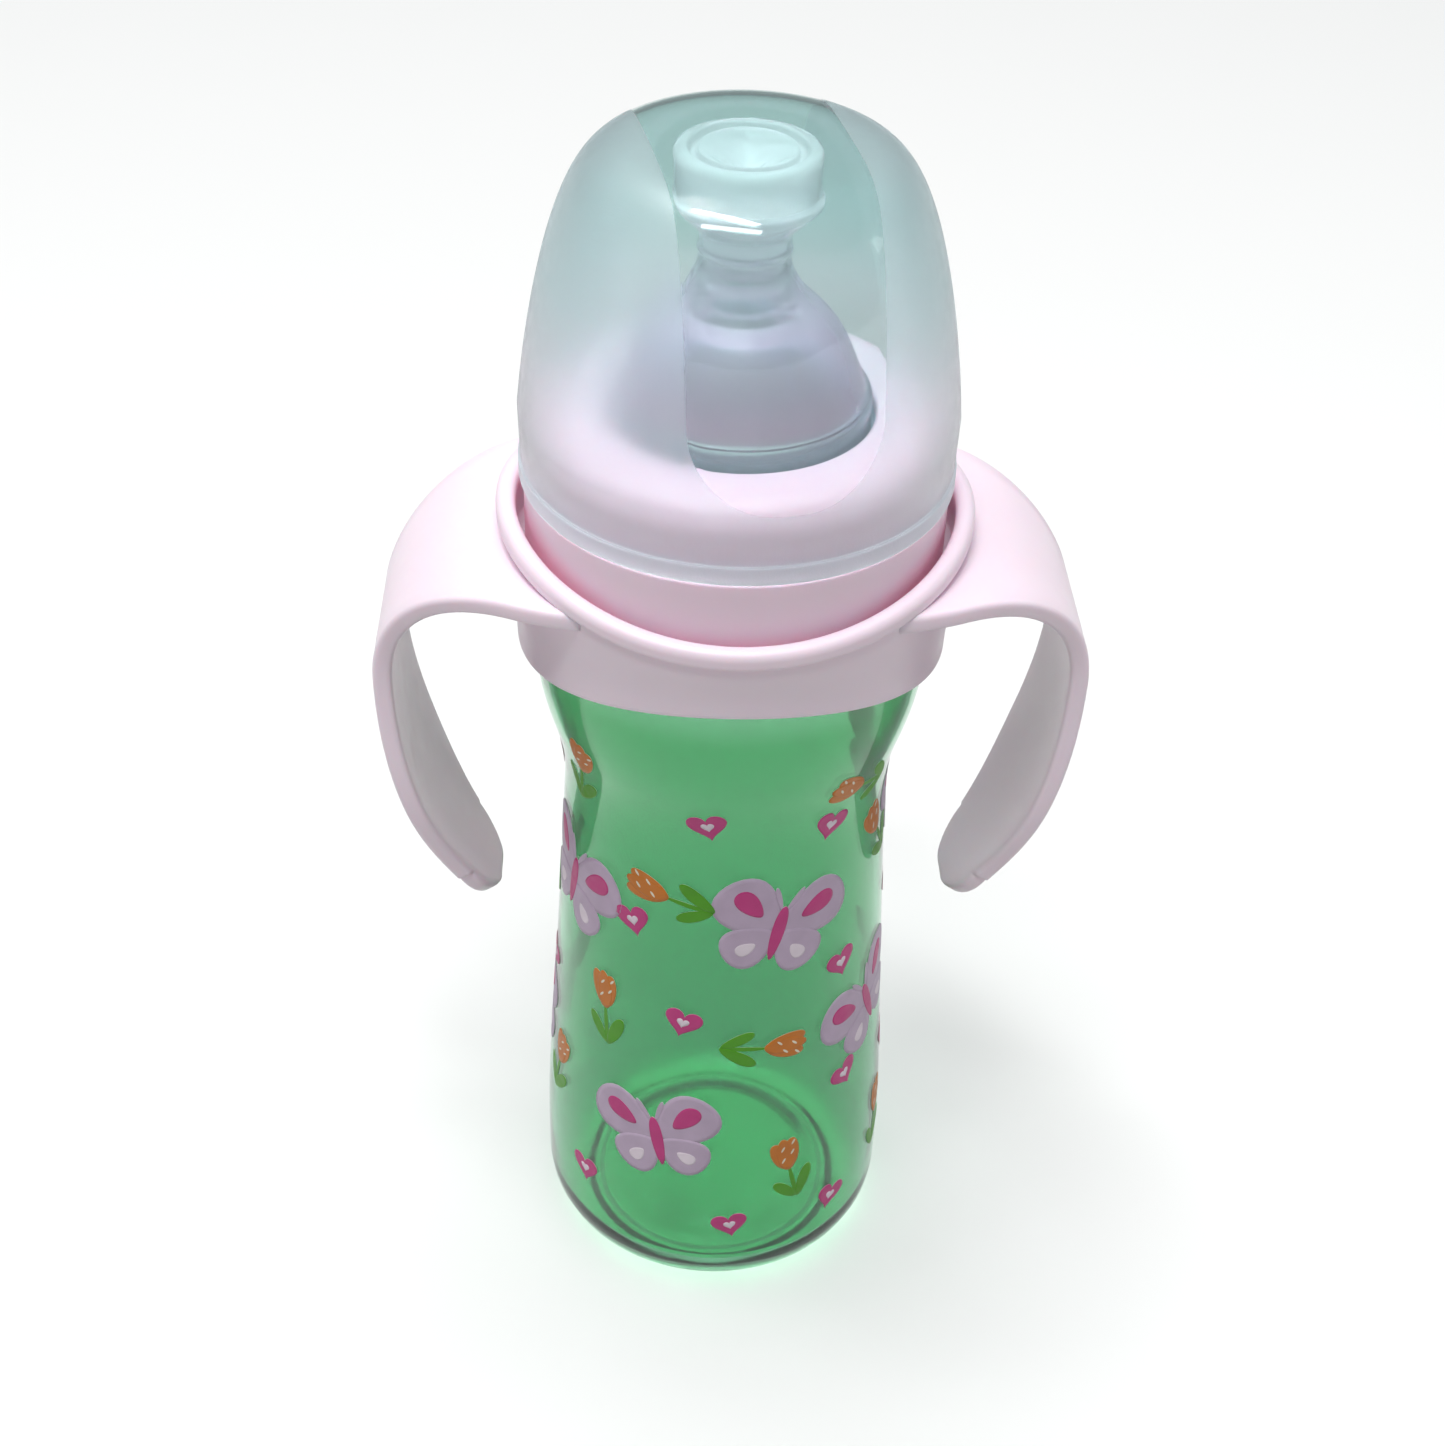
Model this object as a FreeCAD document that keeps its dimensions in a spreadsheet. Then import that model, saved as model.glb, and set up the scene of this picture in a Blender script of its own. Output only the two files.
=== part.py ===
import FreeCAD, Part
import math
import os
import Sketcher

# A feeding bottle with a drinking spout, a screw ring, a dust hood and a collar with two handles.
# +Z is up and the bottle stands on z = 0 with its axis on the Z axis. The handles lie along X.
# All sizes are millimetres.

# Every driving size, by the piece that it belongs to. They become the cells of the sheet.
SIZES = {
    # bottle: an hourglass shell with a wide neck
    "heel_radius": 9.0, "foot_outer_r": 22.1, "foot_inner_r": 20.0,
    "punt_r": 17.0, "punt_height": 2.4,
    "body_r": 31.1, "body_top_z": 18.0,
    "flank_r": 29.4, "flank_z": 52.0, "flank_arc": 340.0,
    "waist_r": 27.1, "waist_z": 98.0, "waist_low_arc": 460.0,
    "swell_r": 28.77, "swell_z": 110.0, "waist_high_arc": 43.9,
    "chest_r": 31.4, "chest_z": 126.0, "chest_arc": 71.0,
    "shoulder_r": 32.1, "shoulder_z": 140.2, "shoulder_arc": 3.2,
    "seat_r": 28.9, "seat_z": 143.4,
    "wall": 1.4, "floor": 2.2, "floor_inset": 1.2, "shoulder_inset": 0.6,
    "neck_r": 27.6, "neck_wall": 1.9, "lip_z": 165.6,
    # screw thread, shared by the neck and the ring
    "pitch": 4.5, "thread_crest_r": 29.0, "thread_root_half": 1.0, "thread_crest_half": 0.5,
    "thread_buried": 0.6,
    "neck_thread_z": 149.6, "neck_thread_height": 9.0,
    "ring_thread_height": 6.75, "ring_thread_crest_r": 28.1,
    # screw ring
    "ring_bottom_z": 146.0, "ring_skirt_r": 32.4, "ring_step_z": 158.4, "ring_boss_r": 31.2,
    "ring_round": 4.6, "ring_top_z": 169.9, "ring_bore_r": 29.4, "ring_plate": 2.1,
    "ring_opening_r": 20.4,
    # spout
    "flange_r": 29.0, "flange_bottom_z": 165.75, "flange_top_z": 167.6,
    "bell_foot_r": 19.75, "bell_foot_z": 172.3, "bell_start_r": 19.0,
    "bell_mid_r": 13.0, "bell_mid_z": 184.0, "bell_out_arc": 36.6,
    "bell_top_r": 7.1, "bell_top_z": 191.4, "bell_in_arc": 20.4,
    "throat_r": 6.7, "throat_z": 194.5, "throat_high_z": 197.6, "throat_inner_high_z": 198.1,
    "head_low_r": 10.75, "head_low_z": 202.0, "head_waist_r": 10.3, "head_waist_z": 203.7,
    "head_r": 10.65, "head_start_z": 205.5, "head_high_z": 207.7, "head_top_z": 208.6,
    "head_top_r": 9.9, "dish_rim_r": 8.4, "dish_r": 7.9, "dish_z": 207.3, "dish_under_r": 8.3,
    "dish_centre_z": 204.4,
    "head_waist_inner_z": 204.0, "head_low_inner_z": 202.5,
    "spout_wall": 1.3, "slit_length": 5.0, "slit_width": 0.3,
    # hood
    "rim_r": 33.1, "rim_z": 158.7, "rim_top_z": 161.7, "hood_r": 32.8, "hood_z": 162.2,
    "hood_side_r": 30.6, "hood_side_z": 185.3, "hood_side_arc": 92.0,
    "hood_shoulder_r": 24.6, "hood_shoulder_z": 204.2, "hood_high_arc": 52.0,
    "hood_crown_r": 14.5, "hood_crown_z": 210.2, "hood_round_arc": 13.5,
    "hood_top_z": 210.9, "hood_wall": 1.2, "hood_bore_r": 31.6,
    "hood_inner_shoulder_r": 23.6, "hood_inner_shoulder_z": 203.6, "hood_inner_crown_r": 14.1,
    # collar with two handles
    "bead_r": 1.5, "bead_path_r": 35.2, "bead_front_z": 148.0, "bead_rise": 4.9,
    "collar_top_r": 35.95, "collar_top_z": 154.5, "collar_mid_z": 145.5,
    "collar_low_r": 34.0, "collar_low_z": 136.0, "collar_bowl_arc": 40.0,
    "collar_hem_r": 33.8, "collar_hem_z": 127.0,
    "collar_bore_r": 34.3, "ledge_top_z": 145.4, "ledge_z": 143.7, "ledge_r": 29.4,
    "collar_skirt_bore_r": 32.5, "saddle_reach": 40.0, "saddle_depth": 20.0,
    "hem_front_z": 135.6, "hem_drop": 7.0,
    "wing_z": 149.2, "wing_start_x": 20.0, "arch_x": 33.0, "arch_z": 126.0, "arch_r": 23.2,
    "leg_arc": 90.0, "strap": 3.0,
    "wing_half": 27.8, "wing_side_arc": 101.0,
    "strap_half": 12.4, "strap_half_at_arch": 14.0, "leg_top_z": 114.0, "strap_in_x": 55.6,
    "leg_low_z": 98.0, "leg_arc_side": 44.6, "tip_side_half": 8.6, "tip_side_z": 80.1,
    "tip_end_z": 74.6, "tip_round": 9.53, "leg_end_z": 73.1, "leg_inner_end_z": 74.8,
    "wing_bore_r": 34.8, "trim_start_x": 19.0, "trim_width": 60.0,
}


class Length:
    """A number of millimetres together with the sheet expression that gives it."""

    def __init__(self, value, text=None):
        self.value = float(value)
        self.text = repr(self.value) if text is None else text

    def __add__(self, other):
        other = as_length(other)
        return Length(self.value + other.value, f"{self.text} + {other.text}")

    def __sub__(self, other):
        other = as_length(other)
        return Length(self.value - other.value, f"{self.text} - ({other.text})")

    def __neg__(self):
        return Length(-self.value, f"-({self.text})")

    def __mul__(self, other):
        other = as_length(other)
        return Length(self.value * other.value, f"({self.text}) * ({other.text})")

    def __truediv__(self, other):
        other = as_length(other)
        return Length(self.value / other.value, f"({self.text}) / ({other.text})")

    def on(self, side):
        """The same length on the positive or the negative side."""
        return self if side > 0 else -self


def as_length(number):
    return number if isinstance(number, Length) else Length(number)


def root(length):
    return Length(math.sqrt(length.value), f"sqrt({length.text})")


ZERO = Length(0.0, "0")


def build_sheet(document):
    """Write the sizes into a spreadsheet and return them as Lengths by name."""
    sheet = document.addObject("Spreadsheet::Sheet", "Sizes")
    for row, (name, value) in enumerate(SIZES.items(), start=1):
        sheet.set(f"A{row}", name)
        sheet.set(f"B{row}", str(value))
        sheet.setAlias(f"B{row}", name)
    document.recompute()
    return {name: Length(value, f"Sizes.{name}") for name, value in SIZES.items()}


def new_body(document, name):
    return document.addObject("PartDesign::Body", name)


def new_sketch(body, name, role):
    """A sketch on one of the body's own origin planes."""
    plane = next(item for item in body.Origin.OriginFeatures if item.Role == role)
    sketch = body.newObject("Sketcher::SketchObject", name)
    sketch.AttachmentSupport = (plane, [""])
    sketch.MapMode = "FlatFace"
    return sketch


def arc_between(start, end, radius):
    """The short arc of a radius from start to end. A positive radius turns left on the way."""
    middle = (start + end) * 0.5
    chord = end - start
    rise = math.sqrt(radius * radius - chord.Length * chord.Length / 4)
    left = FreeCAD.Vector(-chord.y, chord.x, 0).normalize()
    side = 1 if radius > 0 else -1
    centre = middle + left * (rise * side)
    top = centre - left * (abs(radius) * side)
    return Part.Arc(start, top, end)


def place(sketch, geometry, end, axis, length):
    """Bind one coordinate of a point of the sketch to a length."""
    if length.value == 0:
        axis_line = -2 if axis == "X" else -1
        sketch.addConstraint(Sketcher.Constraint("PointOnObject", geometry, end, axis_line))
        return
    kind = "DistanceX" if axis == "X" else "DistanceY"
    index = sketch.addConstraint(Sketcher.Constraint(kind, -1, 1, geometry, end, length.value))
    sketch.setExpression(f"Constraints[{index}]", length.text)


def outline(sketch, corners):
    """Draw a closed outline. A corner is (x, y) or (x, y, radius of the arc to the next corner),
    and every corner and radius is bound to the sheet."""
    points = [FreeCAD.Vector(corner[0].value, corner[1].value, 0) for corner in corners]
    first = sketch.GeometryCount
    count = len(corners)
    ends = []
    for number, corner in enumerate(corners):
        start, end = points[number], points[(number + 1) % count]
        if len(corner) == 2:
            sketch.addGeometry(Part.LineSegment(start, end))
            ends.append((1, 2))
            continue
        radius = corner[2]
        index = sketch.addGeometry(arc_between(start, end, radius.value))
        bound = sketch.addConstraint(Sketcher.Constraint("Radius", index, abs(radius.value)))
        sign = "" if radius.value > 0 else "-"
        sketch.setExpression(f"Constraints[{bound}]", f"{sign}({radius.text})")
        ends.append((1, 2) if radius.value > 0 else (2, 1))
    for number, corner in enumerate(corners):
        before = (number - 1) % count
        sketch.addConstraint(Sketcher.Constraint(
            "Coincident", first + before, ends[before][1], first + number, ends[number][0]))
        place(sketch, first + number, ends[number][0], "X", corner[0])
        place(sketch, first + number, ends[number][0], "Y", corner[1])


def revolve(body, name, corners, feature="PartDesign::Revolution"):
    """Turn an outline of (radius, height) corners about the Z axis."""
    sketch = new_sketch(body, name + "_outline", "XZ_Plane")
    outline(sketch, corners)
    turned = body.newObject(feature, name)
    turned.Profile = sketch
    turned.ReferenceAxis = (sketch, ["V_Axis"])
    turned.Angle = 360
    return turned


def thread(body, name, corners, pitch, height):
    """Wind a ridge section about the Z axis as a right-hand thread."""
    sketch = new_sketch(body, name + "_section", "XZ_Plane")
    outline(sketch, corners)
    ridge = body.newObject("PartDesign::AdditiveHelix", name)
    ridge.Profile = sketch
    ridge.ReferenceAxis = (sketch, ["V_Axis"])
    ridge.Mode = "pitch-height-angle"
    ridge.setExpression("Pitch", pitch.text)
    ridge.setExpression("Height", height.text)
    ridge.Angle = 0
    ridge.LeftHanded = False
    ridge.Reversed = False
    return ridge


def cut_through(body, name, sketch):
    """Cut a sketch's outline through the whole body, both ways from its plane."""
    cut = body.newObject("PartDesign::Pocket", name)
    cut.Profile = sketch
    cut.Type = 1
    cut.Midplane = True
    return cut


def make_bottle(document, size):
    """The clear shell: foot ring and punt, hourglass wall, shoulder seat, threaded neck."""
    body = new_body(document, "bottle")

    def wall_corners(inset, bottom):
        """The wall from its heel up to its shoulder, moved inwards by an inset."""
        heel = size["heel_radius"] - inset
        return [
            (size["foot_outer_r"], bottom, heel),
            (size["body_r"] - inset, size["heel_radius"]),
            (size["body_r"] - inset, size["body_top_z"], size["flank_arc"]),
            (size["flank_r"] - inset, size["flank_z"], -size["waist_low_arc"]),
            (size["waist_r"] - inset, size["waist_z"], -size["waist_high_arc"]),
            (size["swell_r"] - inset, size["swell_z"], size["chest_arc"]),
            (size["chest_r"] - inset, size["chest_z"]),
        ]

    revolve(body, "bottle_outside", [
        (ZERO, size["punt_height"]),
        (size["punt_r"], size["punt_height"]),
        (size["foot_inner_r"], ZERO),
    ] + wall_corners(ZERO, ZERO) + [
        (size["shoulder_r"], size["shoulder_z"], size["shoulder_arc"]),
        (size["seat_r"], size["seat_z"]),
        (size["neck_r"], size["seat_z"]),
        (size["neck_r"], size["lip_z"]),
        (ZERO, size["lip_z"]),
    ])
    mouth_r = size["neck_r"] - size["neck_wall"]
    above_lip = size["lip_z"] + size["neck_wall"]
    revolve(body, "bottle_inside", [
        (ZERO, size["punt_height"] + size["floor"]),
        (size["punt_r"], size["punt_height"] + size["floor"]),
        (size["foot_outer_r"] - size["floor_inset"], size["floor"]),
    ] + wall_corners(size["wall"], size["floor"]) + [
        (size["shoulder_r"] - size["wall"], size["shoulder_z"] - size["shoulder_inset"],
         size["shoulder_arc"]),
        (mouth_r, size["seat_z"] - size["wall"]),
        (mouth_r, above_lip),
        (ZERO, above_lip),
    ], "PartDesign::Groove")
    buried_r = size["neck_r"] - size["thread_buried"]
    middle = size["neck_thread_z"]
    thread(body, "neck_thread", [
        (buried_r, middle - size["thread_root_half"]),
        (size["neck_r"], middle - size["thread_root_half"]),
        (size["thread_crest_r"], middle - size["thread_crest_half"]),
        (size["thread_crest_r"], middle + size["thread_crest_half"]),
        (size["neck_r"], middle + size["thread_root_half"]),
        (buried_r, middle + size["thread_root_half"]),
    ], size["pitch"], size["neck_thread_height"])
    return body


def make_screw_ring(document, size):
    """The cap ring: a gripping skirt, a boss for the hood, a top plate with the spout's opening,
    and a thread inside."""
    body = new_body(document, "screw_ring")
    bore = size["ring_bore_r"]
    boss = size["ring_boss_r"]
    top = size["ring_top_z"]
    under_plate = top - size["ring_plate"]
    revolve(body, "ring_wall", [
        (bore, size["ring_bottom_z"]),
        (size["ring_skirt_r"], size["ring_bottom_z"]),
        (size["ring_skirt_r"], size["ring_step_z"]),
        (boss, size["ring_step_z"]),
        (boss, top - size["ring_round"], size["ring_round"]),
        (boss - size["ring_round"], top),
        (size["ring_opening_r"], top),
        (size["ring_opening_r"], under_plate),
        (bore, under_plate),
    ])
    crest = size["ring_thread_crest_r"]
    buried_r = bore + size["thread_buried"]
    # The ridge lies half a pitch above the neck's, so that the two threads are in mesh.
    middle = size["neck_thread_z"] + size["pitch"] / 2
    thread(body, "ring_thread", [
        (buried_r, middle - size["thread_root_half"]),
        (buried_r, middle + size["thread_root_half"]),
        (bore, middle + size["thread_root_half"]),
        (crest, middle + size["thread_crest_half"]),
        (crest, middle - size["thread_crest_half"]),
        (bore, middle - size["thread_root_half"]),
    ], size["pitch"], size["ring_thread_height"])
    return body


def make_spout(document, size):
    """The silicone spout: clamping flange, bell, narrow throat, and a head whose top is a shallow
    funnel with a slit across its middle."""
    body = new_body(document, "spout")
    wall = size["spout_wall"]
    revolve(body, "spout_wall", [
        (size["bell_foot_r"] - wall, size["flange_bottom_z"]),
        (size["flange_r"], size["flange_bottom_z"]),
        (size["flange_r"], size["flange_top_z"]),
        (size["bell_foot_r"], size["flange_top_z"]),
        (size["bell_foot_r"], size["bell_foot_z"]),
        (size["bell_start_r"], size["bell_foot_z"], size["bell_out_arc"]),
        (size["bell_mid_r"], size["bell_mid_z"], -size["bell_in_arc"]),
        (size["bell_top_r"], size["bell_top_z"]),
        (size["throat_r"], size["throat_z"]),
        (size["throat_r"], size["throat_high_z"]),
        (size["head_low_r"], size["head_low_z"]),
        (size["head_waist_r"], size["head_waist_z"]),
        (size["head_r"], size["head_start_z"]),
        (size["head_r"], size["head_high_z"]),
        (size["head_top_r"], size["head_top_z"]),
        (size["dish_rim_r"], size["head_top_z"]),
        (size["dish_r"], size["dish_z"]),
        (ZERO, size["dish_centre_z"]),
        (ZERO, size["dish_centre_z"] - wall),
        (size["dish_under_r"], size["dish_z"] - wall),
        (size["head_waist_r"] - wall, size["head_waist_inner_z"]),
        (size["head_low_r"] - wall, size["head_low_inner_z"]),
        (size["throat_r"] - wall, size["throat_inner_high_z"]),
        (size["throat_r"] - wall, size["throat_z"]),
        (size["bell_top_r"] - wall, size["bell_top_z"], size["bell_in_arc"]),
        (size["bell_mid_r"] - wall, size["bell_mid_z"], -size["bell_out_arc"]),
        (size["bell_foot_r"] - wall, size["bell_foot_z"]),
    ])
    sketch = new_sketch(body, "slit_outline", "XY_Plane")
    end_x, side_y = size["slit_length"] / 2, size["slit_width"] / 2
    outline(sketch, [(-end_x, -side_y), (end_x, -side_y), (end_x, side_y), (-end_x, side_y)])
    cut_through(body, "slit", sketch)
    return body


def make_hood(document, size):
    """The dust hood: one thin shell with a thicker rim."""
    body = new_body(document, "hood")
    wall = size["hood_wall"]
    revolve(body, "hood_shell", [
        (size["hood_bore_r"], size["rim_z"]),
        (size["rim_r"], size["rim_z"]),
        (size["rim_r"], size["rim_top_z"]),
        (size["hood_r"], size["hood_z"], size["hood_side_arc"]),
        (size["hood_side_r"], size["hood_side_z"], size["hood_high_arc"]),
        (size["hood_shoulder_r"], size["hood_shoulder_z"], size["hood_round_arc"]),
        (size["hood_crown_r"], size["hood_crown_z"]),
        (ZERO, size["hood_top_z"]),
        (ZERO, size["hood_top_z"] - wall),
        (size["hood_inner_crown_r"], size["hood_crown_z"] - wall, wall - size["hood_round_arc"]),
        (size["hood_inner_shoulder_r"], size["hood_inner_shoulder_z"],
         wall - size["hood_high_arc"]),
        (size["hood_side_r"] - wall, size["hood_side_z"], wall - size["hood_side_arc"]),
        (size["hood_bore_r"], size["hood_z"]),
    ])
    return body


def make_collar(document, size):
    """The collar's bowl with its ledge, cut to a saddle above and below."""
    body = new_body(document, "collar")
    revolve(body, "collar_wall", [
        (size["collar_hem_r"], size["collar_hem_z"]),
        (size["collar_low_r"], size["collar_low_z"], -size["collar_bowl_arc"]),
        (size["collar_top_r"], size["collar_mid_z"]),
        (size["collar_top_r"], size["collar_top_z"]),
        (size["collar_bore_r"], size["collar_top_z"]),
        (size["collar_bore_r"], size["ledge_top_z"]),
        (size["ledge_r"], size["ledge_top_z"]),
        (size["ledge_r"], size["ledge_z"]),
        (size["collar_skirt_bore_r"], size["ledge_z"]),
        (size["collar_skirt_bore_r"], size["collar_hem_z"]),
    ])
    reach, depth_away = size["saddle_reach"], size["saddle_depth"]
    for name, front, rise, across, away in (
        ("rim_saddle", size["bead_front_z"], size["bead_rise"], size["bead_path_r"], depth_away),
        ("hem_saddle", size["hem_front_z"], -size["hem_drop"], size["collar_low_r"], -depth_away),
    ):
        # The arc of a saddle passes through (0, front) and (across, front + rise).
        bend = (across * across + rise * rise) / (rise * 2)
        depth = root(bend * bend - reach * reach)
        edge_z = front + bend - depth if rise.value > 0 else front + bend + depth
        sketch = new_sketch(body, name + "_outline", "XZ_Plane")
        far_z = front + away
        outline(sketch, [(-reach, edge_z, bend), (reach, edge_z), (reach, far_z), (-reach, far_z)])
        cut_through(body, name, sketch)
    return body


def make_bead(document, size):
    """The round bead along the collar's rim: a circle carried round a saddle-shaped loop."""
    turns = 32
    radius, front, rise = (
        size[name].value for name in ("bead_path_r", "bead_front_z", "bead_rise"))
    points = []
    for step in range(turns):
        angle = 2 * math.pi * step / turns
        points.append(FreeCAD.Vector(
            radius * math.cos(angle), radius * math.sin(angle),
            front + rise * math.cos(angle) ** 2))
    curve = Part.BSplineCurve()
    curve.interpolate(points, PeriodicFlag=True)
    start, end = curve.FirstParameter, curve.LastParameter
    middle = (start + end) / 2
    halves = []
    for first, last in ((start, middle), (middle, end)):
        path = Part.Wire([Part.Edge(curve, first, last)])
        circle = Part.makeCircle(size["bead_r"].value, curve.value(first), curve.tangent(first)[0])
        halves.append(path.makePipeShell([Part.Wire([circle])], True, False))
    bead = document.addObject("Part::Feature", "rim_bead")
    bead.Shape = halves[0].fuse(halves[1])
    return bead


def make_handle(document, size):
    """One handle along +X: a wide wing that arches out and down into a narrowing leg."""
    body = new_body(document, "handle")
    arch_top_x, arch_side_z = size["arch_x"], size["arch_z"]
    wing_z, start_x = size["wing_z"], size["wing_start_x"]
    strap = size["strap"]
    side_x = arch_top_x + size["arch_r"]

    def leg_x(radius, height):
        """How far out the leg's arc of a radius is at a height."""
        drop = arch_side_z - height
        return side_x - size["leg_arc"] + root(radius * radius - drop * drop)

    inner_leg = size["leg_arc"] - strap
    sketch = new_sketch(body, "strap_outline", "XZ_Plane")
    outline(sketch, [
        (start_x, wing_z),
        (arch_top_x, wing_z, -size["arch_r"]),
        (side_x, arch_side_z, -size["leg_arc"]),
        (leg_x(size["leg_arc"], size["leg_end_z"]), size["leg_end_z"]),
        (leg_x(inner_leg, size["leg_inner_end_z"]), size["leg_inner_end_z"], inner_leg),
        (side_x - strap, arch_side_z, size["arch_r"] - strap),
        (arch_top_x, wing_z - strap),
        (start_x, wing_z - strap),
    ])
    pad = body.newObject("PartDesign::Pad", "strap")
    pad.Profile = sketch
    pad.Midplane = True
    pad.setExpression("Length", size["trim_width"].text)

    plan = new_sketch(body, "plan_outline", "XY_Plane")
    front = new_sketch(body, "leg_outline", "YZ_Plane")
    trim_x, below_tip = size["trim_start_x"], size["leg_end_z"] - strap
    for side in (1, -1):
        far_y = (size["trim_width"] / 2 + strap).on(side)
        half_y = size["strap_half"].on(side)
        far_x = side_x + strap
        outline(plan, [
            (trim_x, size["wing_half"].on(side), -size["wing_side_arc"].on(side)),
            (size["strap_in_x"], half_y),
            (far_x, half_y),
            (far_x, far_y),
            (trim_x, far_y),
        ])
        outline(front, [
            (size["strap_half_at_arch"].on(side), arch_side_z),
            (half_y, size["leg_top_z"]),
            (half_y, size["leg_low_z"], -size["leg_arc_side"].on(side)),
            (size["tip_side_half"].on(side), size["tip_side_z"], -size["tip_round"].on(side)),
            (ZERO, size["tip_end_z"]),
            (ZERO, below_tip),
            (far_y, below_tip),
            (far_y, arch_side_z),
        ])
    bore = new_sketch(body, "bore_outline", "XY_Plane")
    radius = size["wing_bore_r"]
    bore.addGeometry(Part.Circle(FreeCAD.Vector(), FreeCAD.Vector(0, 0, 1), radius.value))
    bore.addConstraint(Sketcher.Constraint("Coincident", -1, 1, 0, 3))
    bore.addConstraint(Sketcher.Constraint("Radius", 0, radius.value))
    bore.setExpression("Constraints[1]", radius.text)
    for name, profile in (("plan_trim", plan), ("leg_trim", front), ("bore_trim", bore)):
        cut_through(body, name, profile)
    return body


def make_handle_ring(document, size):
    """The collar, its rim bead and both handles as the one moulding that they are."""
    collar = make_collar(document, size)
    bead = make_bead(document, size)
    handle = make_handle(document, size)
    other = document.addObject("Part::Mirroring", "handle_opposite")
    other.Source = handle
    other.Normal = (1, 0, 0)
    whole = document.addObject("Part::MultiFuse", "handle_ring")
    whole.Shapes = [collar, bead, handle, other]
    return whole


def build():
    document = FreeCAD.newDocument("feeding_bottle")
    size = build_sheet(document)
    makers = (make_bottle, make_screw_ring, make_spout, make_hood, make_handle_ring)
    parts = [make(document, size) for make in makers]
    document.recompute()
    for item in document.Objects:
        if "Invalid" in item.State or "Error" in item.State:
            raise RuntimeError(f"{item.Name} failed: {item.State}")
    for part in parts:
        if part.Shape.isNull() or not part.Shape.isValid() or len(part.Shape.Solids) != 1:
            raise RuntimeError(f"{part.Label} isn't one valid solid")
    return parts


parts = build()
os.makedirs("parts", exist_ok=True)
for part in parts:
    part.Shape.exportStep(f"parts/{part.Label}.step")
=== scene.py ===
import math

import bpy
import numpy as np
from mathutils import Matrix, Vector


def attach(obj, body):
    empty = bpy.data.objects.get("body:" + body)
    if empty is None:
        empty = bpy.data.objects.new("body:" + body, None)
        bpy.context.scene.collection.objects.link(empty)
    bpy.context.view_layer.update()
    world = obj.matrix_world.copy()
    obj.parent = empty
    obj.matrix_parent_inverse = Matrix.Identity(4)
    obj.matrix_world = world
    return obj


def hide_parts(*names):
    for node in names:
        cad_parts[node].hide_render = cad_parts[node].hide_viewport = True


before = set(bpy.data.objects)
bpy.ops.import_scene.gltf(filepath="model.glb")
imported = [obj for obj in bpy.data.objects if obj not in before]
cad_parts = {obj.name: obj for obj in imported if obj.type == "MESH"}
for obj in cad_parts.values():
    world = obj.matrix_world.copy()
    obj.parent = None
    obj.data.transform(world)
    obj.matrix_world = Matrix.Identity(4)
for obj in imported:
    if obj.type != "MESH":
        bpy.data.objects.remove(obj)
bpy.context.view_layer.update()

# Lengths are millimetres until a mesh is made, and heights are above the table.

# ---------------------------------------------------------------------------------------------
# The bottle: one hollow shell of clear polypropylene, blown in a mould. It has an hourglass wall
# for small hands, a raised foot ring to stand on and a stiffer neck for the screw ring.


def rounded_line(corners, steps=7, fill=5, closed=False):
    """Straight runs from corner to corner, with an arc at each corner. A corner is (r, z, reach)
    and its arc starts a reach before it at a, ends a reach after it at b, and is the weighted mean
    of a, the corner and b with weights (1-t)^2, 2wt(1-t) and t^2, where w is the cosine of half the
    turn. The runs get points too, closer together towards their ends."""
    corners = np.asarray(corners, float)
    point, reach = corners[..., :2], corners[..., 2:]
    to_next = np.roll(point, -1, axis=-2) - point
    to_last = np.roll(point, 1, axis=-2) - point
    to_next /= np.linalg.norm(to_next, axis=-1, keepdims=True)
    to_last /= np.linalg.norm(to_last, axis=-1, keepdims=True)
    w = np.sqrt((1 - (to_next * to_last).sum(-1))[..., None, None] / 2)
    a = (point + to_last * reach)[..., None, :]
    b = (point + to_next * reach)[..., None, :]
    t = np.linspace(0, 1, steps)[:, None]
    weights = (1 - t) ** 2, 2 * w * t * (1 - t), t ** 2
    arcs = (weights[0] * a + weights[1] * point[..., None, :] + weights[2] * b) / sum(weights)
    along = (1 - np.cos(np.linspace(0, math.pi, fill + 2)[1:-1]))[:, None] / 2
    runs = b + (np.roll(a, -1, axis=-3) - b) * along
    line = np.concatenate([arcs, runs], axis=-2)
    if closed:
        return line.reshape(*line.shape[:-3], -1, 2)
    first = point[..., 0, :] + (a[..., 1, 0, :] - point[..., 0, :]) * np.append(0, along)[:, None]
    last = b[..., -2, 0, :] + (point[..., -1, :] - b[..., -2, 0, :]) * np.append(along, 1)[:, None]
    middle = line[..., 1:-1, :, :].reshape(-1, 2)[:-fill]
    return np.concatenate([first, middle, last])


def turned(line, count):
    """Turn a line of (r, z) about the bottle's axis: (r cos a, r sin a, z), in rows along the line
    and columns for count equal steps of a. A line may also hold its own (r, z) for each step."""
    angle = np.linspace(0, 2 * math.pi, count, endpoint=False)
    r, z = (line[..., k] if line.ndim == 3 else line[:, None, k] + 0 * angle for k in (0, 1))
    return np.stack([r * np.cos(angle), r * np.sin(angle), z], axis=-1)


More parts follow.
